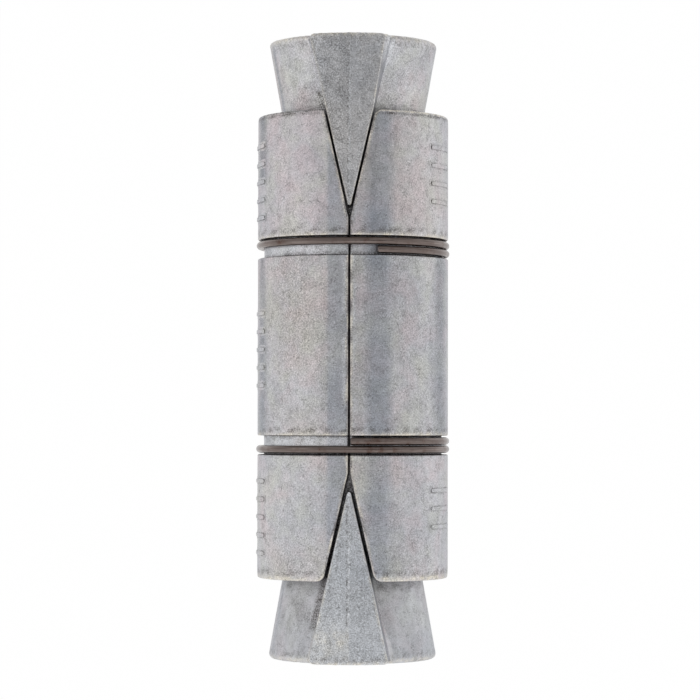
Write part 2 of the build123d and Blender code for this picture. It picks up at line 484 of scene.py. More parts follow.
def half_outline(sizes, inset, mouths):
    """A half's outline on the developed shield, moved in by inset: its front side, back side, lower
    end and upper end, each as distance round and height, with the depth of each side row."""
    heights, depths = seam_rows(sizes)
    sides = []
    for lower_mouth, upper_mouth in mouths:
        low_x, low_depth = notch_side(sizes, inset, lower_mouth)
        high_x, high_depth = notch_side(sizes, inset, upper_mouth)
        low_z = SHIELD_BASE + low_depth
        high_z = SHIELD_TOP - high_depth[::-1]
        low_link = bunched_steps(14, low_z[-1], heights[0], 0.8)[1:-1]
        high_link = bunched_steps(14, heights[-1], high_z[0], 0.8)[1:-1]
        z = np.concatenate([low_z, low_link, heights, high_link, high_z])
        x = np.concatenate([low_x, np.full(len(z) - 2 * len(low_x), low_x[-1]), high_x[::-1]])
        sides.append((round_from_x(x), z))
    pad = np.zeros((len(sides[0][1]) - len(depths)) // 2)
    row_depth = np.concatenate([pad, depths, pad])
    front, (back_round, back_z) = sides
    back = (pi * SHIELD_RADIUS - back_round, back_z)
    (front_lower, front_upper), (back_lower, back_upper) = mouths
    lower_round, lower_depth = end_edge(sizes, inset, front_lower, back_lower)
    upper_round, upper_depth = end_edge(sizes, inset, front_upper, back_upper)
    lower = (lower_round, SHIELD_BASE + lower_depth)
    upper = (upper_round, SHIELD_TOP - upper_depth)
    return front, back, lower, upper, row_depth


def outline_loop(front, back, lower, upper):
    """The four sides as one closed loop: up the front, over the top, down the back and under."""
    sides = (front, upper, back[..., ::-1], lower[..., ::-1])
    loop = np.concatenate([side[..., :-1] for side in sides], axis=-1)
    return np.concatenate([loop, loop[..., :1]], axis=-1)


def patch(front, back, lower, upper, low_row, high_row):
    """Fills an outline with rows from front to back. Between low_row and high_row the rows are
    straight, and beyond them they bend bit by bit to the ends' edges."""
    across = (upper[0] - upper[0, 0]) / (upper[0, -1] - upper[0, 0])
    rows = front[:, :, None] * (1 - across) + back[:, :, None] * across
    z = front[1]
    low_pull = ramp(z, z[low_row], z[0] - z[low_row])[:, None]
    high_pull = ramp(z, z[high_row], z[-1] - z[high_row])[:, None]
    low_bend = (lower - rows[:, 0])[:, None, :]
    high_bend = (upper - rows[:, -1])[:, None, :]
    return rows + low_pull * low_bend + high_pull * high_bend


def seat_radius(sizes, turn, z):
    """The shield's inside: the larger of the bore and the two conical seats. A seat's circle is
    centred beyond the axis, so its distance from the axis follows the cosine rule."""
    depth = np.minimum(z - SHIELD_BASE, SHIELD_TOP - z)
    slope = (sizes.cone_big_radius - sizes.cone_nose_radius) / sizes.cone_taper_length
    circle = np.maximum(sizes.seat_mouth_radius - depth * slope, sizes.bore_radius)
    circle = circle + np.maximum(sizes.seat_chamfer - depth, 0)
    shift = sizes.seat_shift
    seat = np.sqrt(circle**2 - (shift * np.cos(turn)) ** 2) - shift * np.sin(turn)
    return np.maximum(seat, sizes.bore_radius)


def straight_in(around, radius):
    """The angle at which a point lies at a smaller radius. Near the seam the walls are straight in
    from the front, so its distance from the seam plane stays, and elsewhere they are radial."""
    limit = 7 * MM
    turn = around / SHIELD_RADIUS
    from_seam = np.minimum(turn, pi - turn)
    outer_limit = np.arcsin(limit / SHIELD_RADIUS)
    inner_limit = np.arcsin(limit / radius)
    straight = np.arcsin(np.minimum(SHIELD_RADIUS * np.sin(from_seam), limit) / radius)
    spread = inner_limit + (from_seam - outer_limit) * (pi / 2 - inner_limit) / (pi / 2 - outer_limit)
    inner = np.where(SHIELD_RADIUS * np.sin(from_seam) < limit, straight, spread)
    return np.where(turn > pi / 2, pi - inner, inner)


def skin_marks(sizes, seed, look, grid, row_depth):
    """The marks on a half's outside. Edges that face down are rubbed bright and get a painted highlight,
    and those that face up hold a line of dirt and painted shade. Groove floors are clean, with painted
    shadow along their walls beside the wire, and the metal is bluish in a band along the seam and carries
    a painted dark reflection in a band down the outer side. A thin film lies on the front, at the foot
    and between the grooves. The look is one of SHIELD_LOOKS."""
    around, z = grid
    low_groove, high_groove = GROOVE_LEVELS
    half = sizes.groove_width / 2
    in_groove = row_depth[:, None] / sizes.groove_depth
    outside = in_groove < 0.5
    in_middle = (z > low_groove) & (z < high_groove)
    under, over = z - z[:1], z[-1:] - z
    to_groove = np.full(z.shape, SHIELD_TOP)
    slack = 0.01 * MM
    for level in GROOVE_LEVELS:
        lip_below, lip_above = level - half - z, z - level - half
        to_groove = np.where(lip_below > -slack, np.minimum(to_groove, lip_below), to_groove)
        under = np.where(lip_above > -slack, np.minimum(under, lip_above), under)
    from_groove = np.minimum(abs(z - low_groove), abs(z - high_groove))
    to_side = np.minimum(around - around[:, :1], around[:, -1:] - around)
    from_seam = np.minimum(around, pi * SHIELD_RADIUS - around)
    blotch = patchy(seed + 20, around, z, WIDE_SPOT)
    stretch = patchy(seed + 21, around, z, LONG_STRETCH)

    band = (look["cool_half_width"] - abs(from_seam - look["cool_at"])) / look["cool_edge"] + 0.5
    band = look["cool"] * np.clip(band, 0, 1) * (0.6 + 0.4 * patchy(seed + 22, around, z, 16 * MM))
    above = ramp(z, (high_groove + SHIELD_TOP) / 2 - MM, 2 * MM)
    # The limb band is a painted dark reflection down the outer side: bluish, darker metal
    limb = near(around - look["limb_at"], look["limb_width"]) * (0.8 + 0.2 * stretch)
    limb = limb * (in_middle + look["limb_above"] * above)
    film = near(from_seam - 9.5 * MM, 4.5 * MM) * outside
    at_foot = near(z - SHIELD_BASE - 3 * MM, 3 * MM)
    beige = look["beige"] * in_middle * ramp(z, 44 * MM, 6 * MM)

    cool = strongest(band, 0.5 * limb)
    rosy = (look["rosy_above"] * (z > high_groove) + 0.5 * beige) * outside * (1 - cool)
    # Lips face down, so besides their wear they get a painted highlight
    wear = strongest(
        look["lip_wear"] * near(under, 0.5 * MM) * (0.35 + 0.65 * blotch),
        0.7 * near(to_side, 0.22 * MM) * stretch,
        0.2 * film * beige,
    )
    bright = strongest(
        look["groove_light"] * in_groove * (0.55 + 0.45 * stretch),
        0.8 * near(to_side - 0.35 * MM, 0.3 * MM) * stretch * in_middle * outside,
    )
    # Dirt, and painted shade as a dark line on edges that face up: the shield's top and each groove's lower
    # lip
    edge_dirt_and_shade = strongest(
        near(over - 0.25 * MM, 0.25 * MM) * (0.5 + 0.5 * blotch),
        near(to_groove, 0.15 * MM) * (0.5 + 0.5 * blotch),
        0.7 * near(under - 0.9 * MM, 0.5 * MM) * blotch,
        0.4 * near(to_side, 0.3 * MM) * (1 - stretch) * blotch,
        0.12 * in_middle * patchy(seed + 25, around, z, 10 * MM),
    )
    # Painted shadow, speckled, along the groove walls beside the wire
    groove_wall_shadow = 0.85 * near(half - from_groove, 0.5 * MM) * (0.5 + 0.5 * blotch)
    grime = strongest(
        np.where(outside, edge_dirt_and_shade, groove_wall_shadow),
        0.4 * limb,
        0.2 * film * at_foot,
        0.27 * film * beige,
    )
    return {"wear": wear * outside, "grime": grime, "bright": bright, "cool": cool, "rosy": rosy}


def half_surfaces(sizes, mouths, seed, side, look):
    """A shield half as a closed skin: a grid over the outside, quarter-round bands over its edges,
    walls to the inside, and a grid over the bore and seats. mouths gives the front and back
    notches' mouth radii, lower and upper. side is 1 for the right half and -1 for the left one, and
    the look is one of SHIELD_LOOKS."""

    def reach(around, z, depth):
        to_end = np.minimum(z - SHIELD_BASE, SHIELD_TOP - z)
        lumps = sizes.end_lumps * casting_wave(seed + 30, around, z, 1.3 * MM) * near(to_end, 0.7 * MM)
        wave = sizes.casting_wave * casting_wave(seed, around, z, 9 * MM)
        return SHIELD_RADIUS - depth - wave - lumps

    def inside(around, z):
        turn = straight_in(around, seat_radius(sizes, around / SHIELD_RADIUS, z))
        return seat_radius(sizes, turn, z)

    def skin(around, z, radius, **marks):
        return surface(*about_axis(radius, straight_in(around, radius), side), z, **marks)

    loops = []
    for inset, edge_depth in zip(*rounding(6, sizes.edge_radius)):
        *sides, row_depth = half_outline(sizes, inset, mouths)
        front, back, lower, upper = (np.array(part) for part in sides)
        flat = np.zeros(upper.shape[1])
        loop = outline_loop(
            np.vstack([front, row_depth]),
            np.vstack([back, row_depth]),
            np.vstack([lower, flat]),
            np.vstack([upper, flat]),
        )
        loop[2] += edge_depth
        if not loops:
            groove_index = np.flatnonzero(row_depth)
            grid = patch(front, back, lower, upper, groove_index[0] - 1, groove_index[-1] + 1)
        loops.append(loop)
    marks = skin_marks(sizes, seed, look, grid, row_depth)
    pieces = [skin(*grid, reach(*grid, row_depth[:, None]), **marks)]

    around, z, depth = np.array(loops).transpose(1, 0, 2)
    in_groove = np.minimum(depth / sizes.groove_depth, 1) * (depth > 0.5 * sizes.groove_depth)
    at_base, at_top = near(z - SHIELD_BASE, 0.6 * MM), near(SHIELD_TOP - z, 0.6 * MM)
    between = np.clip(1 - at_base - at_top, 0, 1)
    blotch = patchy(seed + 23, around, z, SPOT)
    stretch = patchy(seed + 24, around, z, LONG_STRETCH)
    top_light = look["top_light"]
    # The foot faces down: rubbed bright and given a painted highlight. Where the top edge isn't bright it
    # gets dirt and painted shade
    wear = at_base * (0.5 + 0.5 * blotch) + top_light * at_top * (0.6 + 0.4 * blotch)
    wear = (wear + 0.8 * between * stretch) * (in_groove < 0.5)
    grime = (1 - top_light) * at_top * (0.4 + 0.6 * blotch) + 0.7 * between * (1 - stretch)
    bright = look["groove_light"] * in_groove
    pieces.append(skin(around, z, reach(around, z, depth), wear=wear, grime=grime, bright=bright))

    around, z, depth = loops[-1]
    share = sweep_steps(7)[:, None]
    radius = reach(around, z, depth)[0] * (1 - share) + inside(around, z) * share
    # The walls into the inside get painted shade, so the gaps at the seam and the notches read dark
    pieces.append(skin(around, z, radius, grime=0.85 - 0.3 * share, shade=0.4))

    inner_band = np.stack([loops[-1][:2], loops[0][:2]], axis=1)
    for around, z in (inner_band, grid):
        pieces.append(skin(around, z, inside(around, z), shade=0.4))
    return pieces


def bar_surfaces(sizes, angle_from_seam, heights, side):
    """Plain raised bars on the shield, one for each height: each is a flat superellipsoid, a rounded
    block whose sections are near-rectangles, half sunk in the casting and bent round it. Under it
    lies a wider one, thin as a breath, that holds the dirt and painted shade round the bar's foot."""
    squareness = 0.3
    rise = sweep_steps(15, -pi / 2, pi / 2)[:, None]
    turn = sweep_steps(41, 0, 2 * pi)[None, :]

    def power(value):
        return np.sign(value) * abs(value) ** squareness

    ring = power(np.cos(rise))
    half_length, half_width = sizes.bar_length / 2, sizes.bar_width / 2
    pieces = []
    for border, thickness, dirt_and_shade in ((0, sizes.bar_height, 0.5), (sizes.bar_border, 0.012 * MM, 1.0)):
        across = (half_length + border) * ring * power(np.cos(turn))
        along = (half_width + border) * ring * power(np.sin(turn))
        out = thickness * power(np.sin(rise)) * np.ones(turn.shape)
        outside = np.maximum(abs(across) - half_length, abs(along) - half_width)
        # Dirt and painted shade at the bar's foot
        grime = dirt_and_shade * near(np.maximum(outside, 0), 0.16 * MM) * (out < 0.7 * sizes.bar_height)
        x, y = about_axis(SHIELD_RADIUS + out, radians(angle_from_seam) + across / SHIELD_RADIUS, side)
        for level in heights:
            z = level + along
            caught = grime * (0.45 + 0.55 * patchy(60 + side, across, z, 1.6 * MM))
            pieces.append(surface(x, y, z, grime=caught))
    return pieces


def cone_section(sizes, rim, bore_radius, bore_chamfer, nose_chamfer):
    """A cone's section as radius and height from its big end: out over the end face, round the rim,
    up the taper and over the nose, with a column for each rim radius. The bore's line, from the
    nose back to the big end, comes second."""
    taper = atan2(sizes.cone_big_radius - sizes.cone_nose_radius, sizes.cone_taper_length)
    end_share, taper_share = sweep_steps(14)[:-1, None], sweep_steps(50)[1:, None]
    rim_turn = sweep_steps(12, -pi / 2, taper)[:, None]
    nose_turn = sweep_steps(6, 0, pi / 2)[1:, None]
    nose = sizes.cone_nose_rounding
    bore_edge = bore_radius + bore_chamfer
    rim_centre = sizes.cone_big_radius - rim * (1 + sin(taper)) / cos(taper)
    rim_out = rim_centre + rim * np.cos(rim_turn)
    rim_up = rim + rim * np.sin(rim_turn)
    nose_up = sweep_steps(20, sizes.cone_taper_length, CONE_LENGTH - nose)[1:, None]
    parts = [
        (bore_edge + (rim_centre - bore_edge) * end_share, 0 * end_share),
        (rim_out, rim_up),
        (
            rim_out[-1] + (sizes.cone_nose_radius - rim_out[-1]) * taper_share,
            rim_up[-1] + (sizes.cone_taper_length - rim_up[-1]) * taper_share,
        ),
        (sizes.cone_nose_radius + 0 * nose_up, nose_up),
        (
            sizes.cone_nose_radius - nose + nose * np.cos(nose_turn),
            CONE_LENGTH - nose + nose * np.sin(nose_turn),
        ),
    ]
    section = np.concatenate([np.stack(np.broadcast_arrays(*part, rim)[:2]) for part in parts], axis=1)
    bore_height = sweep_steps(190, CONE_LENGTH, 0)
    bore = bore_radius + np.maximum(bore_chamfer - bore_height, 0)
    bore = bore + np.maximum(nose_chamfer - (CONE_LENGTH - bore_height), 0)
    return section, np.stack([bore, bore_height])


def thread_profile(sizes, turns):
    """Depth of the thread's wall against the turns counted along the bore: a flat crest of a quarter
    pitch, a straight flank, a flat root of an eighth, and a straight flank back."""
    crest, root = 0.25, 0.125
    flank = (1 - crest - root) / 2
    place = turns % 1
    rising = (place - crest) / flank
    falling = (1 - place) / flank
    return sizes.thread_depth * np.clip(np.minimum(rising, falling), 0, 1)


def cone_surfaces(sizes, bore_radius, bore_chamfer, nose_chamfer, threaded, seed, look):
    """A cone with its bore, turned about the axis: each section point goes round in a circle, and
    a thread moves the bore's points out as they go round and up. The look is one of CONE_LOOKS."""
    turn = sweep_steps(241, 0, 2 * pi)[None, :]
    rim = sizes.cone_rim_radius * (1 - look["crisp_rim"] * (0.6 - 0.4 * np.sin(turn)))
    (radius, z), bore = cone_section(sizes, rim, bore_radius, bore_chamfer, nose_chamfer)
    around = SHIELD_RADIUS * turn
    on_side = ramp(z, 0, 2 * MM) * (z < CONE_LENGTH - 0.5 * MM)
    wave = sizes.casting_wave * casting_wave(seed, around, z, 7 * MM) * on_side
    to_rim = np.hypot(radius - sizes.cone_big_radius, z)
    lumps = sizes.end_lumps * casting_wave(seed + 1, around, radius + z, 1.5 * MM)
    lumps = lumps * near(to_rim, 1.2 * MM)

    blotch = patchy(seed + 2, around, z, SPOT)
    x, y = about_axis(radius, turn)
    left_of_fin, right_of_fin = x * y > 0, x * y < 0
    from_fin = abs(x) - sizes.fin_base_width / 2 + z * tan(sizes.fin_half_angle)
    corner = ramp(from_fin, 1.3 * MM, -0.3 * MM) * ramp(z, look["corner_shade_from"] - 0.5 * MM, MM)
    # A painted highlight on the cone beside a fin's root
    root_highlight = near(from_fin - 0.9 * MM, 0.9 * MM) * near(z - 2 * MM, 3 * MM) * right_of_fin * on_side
    line_turn, line_width = 2 * pi - 1.25, 0.06
    run = look["run"] * near(turn - line_turn, line_width) * on_side * (0.6 + 0.4 * blotch)
    grime = strongest(
        0.5 * near(z - 1.3 * MM, 0.5 * MM) * blotch,
        # Painted shade, patchy, where the cone goes into the shield
        0.5 * near(z - sizes.standout, 1.3 * MM) * patchy(seed + 3, around, z, 4 * MM),
        0.14 * patchy(seed + 4, around, z, 6 * MM) * on_side,
        # Painted shade on the cone's part inside the shield, seen through the notches
        0.85 * ramp(z, sizes.standout + 2 * MM, 2 * MM),
        0.35 * near(z - 8.5 * MM, 3.5 * MM) * patchy(seed + 6, around, z, 6 * MM) * left_of_fin,
        # Painted shade, speckled, in the corner left of a fin
        0.95 * corner * left_of_fin * (0.6 + 0.4 * blotch),
        # Painted shade beside a fin's root on its right
        0.25 * near(from_fin - 1.2 * MM, 1.2 * MM) * ramp(z, 5 * MM, 2 * MM) * right_of_fin,
        0.45 * run,
    )
    wear = near(to_rim, 0.7 * MM) * (0.4 + 0.6 * blotch)
    bright = np.maximum(look["root_highlight"] * root_highlight, look["cool"])
    cool = look["cool"] + 0.8 * run

    # The last column closes the turn, so it takes the first one's values
    for values in (wave, lumps, wear, grime, bright, cool, radius, z):
        values[:, -1] = values[:, 0]
    skin = about_axis(radius - wave - lumps * on_side, turn)
    sides = surface(*skin, z + lumps, wear=wear, grime=grime, bright=bright, cool=cool)

    bore_reach, bore_z = bore[0][:, None], bore[1][:, None]
    if threaded:
        turns = bore_z / sizes.thread_pitch - turn / (2 * pi)
        bore_reach = np.maximum(bore_reach, bore_radius + thread_profile(sizes, turns))
        bore_reach[0] = bore[0, 0]
        bore_reach[-1] = bore[0, -1]
    inside = surface(*about_axis(bore_reach, turn), bore_z, shade=0.6)
    share = sweep_steps(6)[:, None]
    nose = radius[-1:] * (1 - share) + bore[0, 0] * share
    nose_face = surface(*about_axis(nose, turn), CONE_LENGTH, shade=0.3)
    return [sides, nose_face, inside]


def fin_rows(sizes, tip_radius):
    """A fin's rows from its big end to its tip, each as a column: height, half width, outer radius
    and the cone's radius there. The end's corners and the tip are round."""
    lean = sizes.fin_half_angle
    slope = tan(lean)
    corner = sizes.fin_corner_radius
    apex = sizes.fin_base_width / 2 / slope
    tip_turn = sweep_steps(14, lean, pi / 2)
    tip_height = apex - tip_radius / sin(lean) + tip_radius * np.sin(tip_turn)
    end_height = corner * (1 - np.cos(sweep_steps(12, 0, pi / 2)))
    body = sweep_steps(72, corner, tip_height[0])[1:-1]
    height = np.concatenate([end_height, body, tip_height])
    half_width = (apex - height) * slope - rounded_back(height, corner)
    half_width[-len(tip_turn) :] = tip_radius * np.cos(tip_turn)
    taper = (sizes.cone_big_radius - sizes.cone_nose_radius) / sizes.cone_taper_length
    cone = np.maximum(sizes.cone_big_radius - height * taper, sizes.cone_nose_radius)
    cone = cone - rounded_back(height, sizes.cone_rim_radius)
    outer = FIN_RADIUS - rounded_back(height, sizes.fin_edge_radius)
    return height[:, None], half_width[:, None], outer[:, None], cone[:, None]


def fin_surface(sizes, facing, flare_side, tip_radius, seed, look):
    """A wedge fin as one closed skin, and the cap on its end: a section across the fin, carried up
    it. The section is the outer face with its parting ridge, a rounded edge, the flat flank and a
    root fillet that runs on to the cone, and it narrows with the wedge to nothing at the tip.
    facing is -1 for the front fin and 1 for the back one, flare_side is the side whose flank slopes
    and whose fillet flares, 1 at +X, and the look is one of CONE_LOOKS."""
    height, half_width, outer, cone = fin_rows(sizes, tip_radius)
    corner = np.minimum(sizes.fin_edge_radius, 0.7 * half_width)
    stands_out = ramp(height, sizes.standout, -sizes.standout)
    in_notch = ramp(height, 0.28 * sizes.standout, 0.28 * sizes.standout)
    bend_share, wall_share = sweep_steps(8)[1:], sweep_steps(9)[1:]
    halves = []
    for side in (1, -1):
        flared = side == flare_side
        plain = not flared
        flare = sizes.fin_flare * stands_out * flared
        root = (sizes.fin_root_radius + flare) * (1 - in_notch) + 0.1 * MM * in_notch
        root = np.minimum(root, 1.5 * half_width)
        cut = look["face_cut"] * stands_out * flared
        face_turn = np.arcsin((half_width - cut - corner) / (outer - corner))
        x_face = outer * np.sin(face_turn * sweep_steps(22) ** 1.5)
        ridge = sizes.fin_ridge * (1 - near(x_face, 0.45 * MM)) * ramp(half_width, 0, 2 * MM)
        y_face = np.sqrt(outer**2 - x_face**2) - ridge
        bend = face_turn + (pi / 2 - face_turn) * bend_share
        x_edge = (outer - corner) * np.sin(face_turn) + corner * np.sin(bend)
        y_edge = (outer - corner) * np.cos(face_turn) + corner * np.cos(bend)
        y_edge = y_edge - ridge[:, -1:] * (1 - bend_share)
        y_root = np.sqrt((cone + root) ** 2 - (half_width + root) ** 2)
        y_wall = y_edge[:, -1:] + (y_root - y_edge[:, -1:]) * wall_share
        x_wall = half_width - cut * (1 - wall_share)
        fall = np.arctan2(y_root, half_width + root) * wall_share
        x_root = half_width + root - root * np.cos(fall)
        y_fillet = y_root - root * np.sin(fall)
        sunk = cone - sizes.fin_sink
        x_sunk = x_root[:, -1:] * sunk / cone * sweep_steps(5, 1, 0)
        y_sunk = np.sqrt(sunk**2 - x_sunk**2)
        x = np.concatenate([x_face, x_edge, x_wall, x_root, x_sunk], axis=1)
        y = np.concatenate([y_face, y_edge, y_wall, y_fillet, y_sunk], axis=1)

        stretch = patchy(seed + side, x, height, SHORT_STRETCH)
        blotch = patchy(seed + 3 * side, x, height, SPOT)
        on_face = y > y_root
        from_foot = y - y_fillet[:, -1:]
        flank = half_width - cut
        dark_edge = near(half_width - x - 0.8 * MM, 0.7 * MM) * (y > y_edge[:, :1]) * plain
        on_root = near(from_foot, 0.9 * MM) * (x > half_width - 0.01 * MM) * plain
        foot = near(from_foot, 0.45 * MM) * (x > half_width) * flared
        parting = near(x - 0.3 * MM, 0.18 * MM) * on_face * plain
        pale = near(height - 3.5 * MM, 2.6 * MM) * (0.4 + 0.6 * stretch) * plain * on_face
        wear = strongest(
            0.6 * near(flank - x, 0.3 * MM) * (y > y_edge[:, -1:]) * (0.3 + 0.7 * stretch),
            near(height, 0.5 * MM) * (0.3 + 0.7 * blotch),
            look["pale_foot"] * pale,
        )
        grime = strongest(
            # Darkens the face, the plain half most
            look["face_darkening"] * (0.5 + 0.5 * stretch) * (1 if plain else 0.1),
            # Dust and painted shade where the fin goes under the shield
            look["shelf_dust_and_shade"] * near(height - sizes.standout + 1.5 * MM, 2.8 * MM),
            0.35 * dark_edge * blotch,
            0.5 * near(height - 0.9 * MM, 0.5 * MM) * blotch,
            # Painted shade in the root fillet on the plain side
            0.7 * on_root * ramp(height, 0, 8 * MM),
            # Painted shade along the flared fillet's foot
            0.45 * foot * ramp(height, 3 * MM, 5 * MM),
            0.8 * parting * blotch * ramp(height, 4 * MM, MM),
        )
        shade = ramp(y, y_root, 0.6 * MM) * (1 - ramp(x, flank, 0.3 * MM))
        cool = look["end_cool"] * near(height - 2.5 * MM, 5 * MM) * (0.5 + 0.5 * stretch)
        bright = strongest(
            # A painted highlight on the flared flank and fillet near the big end
            look["flank_highlight"] * ramp(x, flank, 0.4 * MM) * flared * near(height - 2 * MM, 4 * MM),
            near(x, 0.2 * MM) * on_face * (0.25 + 0.75 * blotch),
            0.9 * cool,
        )
        halves.append((side * x, y, wear, grime, shade, bright, cool))
    x, y, wear, grime, shade, bright, cool = (
        np.concatenate([right, left[:, -2::-1]], axis=1) for right, left in zip(*halves)
    )
    lumps = sizes.end_lumps * casting_wave(seed + 5, x, y, 1.4 * MM) * near(height, 0.9 * MM)
    z = height + lumps
    z[0] = sizes.fin_end_recess + lumps[0]

    shrink = sweep_steps(10)[:, None]
    cap = surface(x[:1] * shrink, facing * y[:1], z[:1], wear=0.3, shade=0.5)
    skin = surface(x, facing * y, z, wear=wear, grime=grime, shade=shade, bright=bright, cool=cool)
    return [cap, skin]


def turn_over(surfaces):
    """The same surfaces mirrored top to bottom, for the upper cone."""
    flip, lift = np.array([1.0, 1.0, -1.0]), np.array([0.0, 0.0, TOTAL_LENGTH])
    return [(points * flip + lift, marks, lines) for points, marks, lines in surfaces]


def ring_surface(sizes, level, start, upside_down):
    """A wire ring as a tube: a circle carried along an arc that rises by one strand where it
    crosses its groove, and is cut off square, with a broken edge, at both ends."""
    wire = sizes.wire_diameter / 2
    pitch = RING_HEIGHT - 2 * wire
    path_radius = RING_OUTER_RADIUS - wire
    chamfer = sizes.wire_end_chamfer
    turn = sweep_steps(560, start, sizes.ring_end)
    cross = ramp(turn, sizes.ring_cross_start, sizes.ring_cross_end - sizes.ring_cross_start)
    rise = pitch * cross**2 * (3 - 2 * cross) - pitch / 2
    slant = np.gradient(rise, turn) / path_radius
    reach = np.full(turn.shape, wire)
    reach[0] = reach[-1] = wire - chamfer
    turn = np.concatenate([turn[:1], turn[:1], turn[1:-1], turn[-1:], turn[-1:]])
    turn[2] = start + chamfer / path_radius
    turn[-3] = sizes.ring_end - chamfer / path_radius
    reach = np.concatenate([[0], reach, [0]])
    rise = np.concatenate([rise[:1], rise, rise[-1:]])
    slant = np.concatenate([slant[:1], slant, slant[-1:]])
    turn, reach, rise, slant = (values[:, None] for values in (turn, reach, rise, slant))
    around = sweep_steps(25, 0, 2 * pi)[None, :]
    out = reach * np.cos(around)
    up = reach * np.sin(around)
    height = rise + up * np.cos(np.arctan(slant))
    turn_here = turn - up * np.sin(np.arctan(slant)) / path_radius
    if upside_down:
        height = -height
    lines = np.stack(np.broadcast_arrays(turn * path_radius / MM, wire / MM * around), axis=-1)
    return surface(*about_axis(path_radius + out, turn_here), level + height, lines=lines)


def add_node(tree, kind, inputs=None, **settings):
    """Adds a node to a tree with its settings. Each input is a value or the output it is linked to."""
    made = tree.nodes.new(kind)
    for key, value in settings.items():
        setattr(made, key, value)
    for key, value in (inputs or {}).items():
        if isinstance(value, bpy.types.NodeSocket):
            tree.links.new(value, made.inputs[key])
        else:
            made.inputs[key].default_value = value
    return made


def empty_tree(owner):
    """The node tree of a new material or world, with nothing in it."""
    owner.use_nodes = True
    owner.node_tree.nodes.clear()
    return owner.node_tree


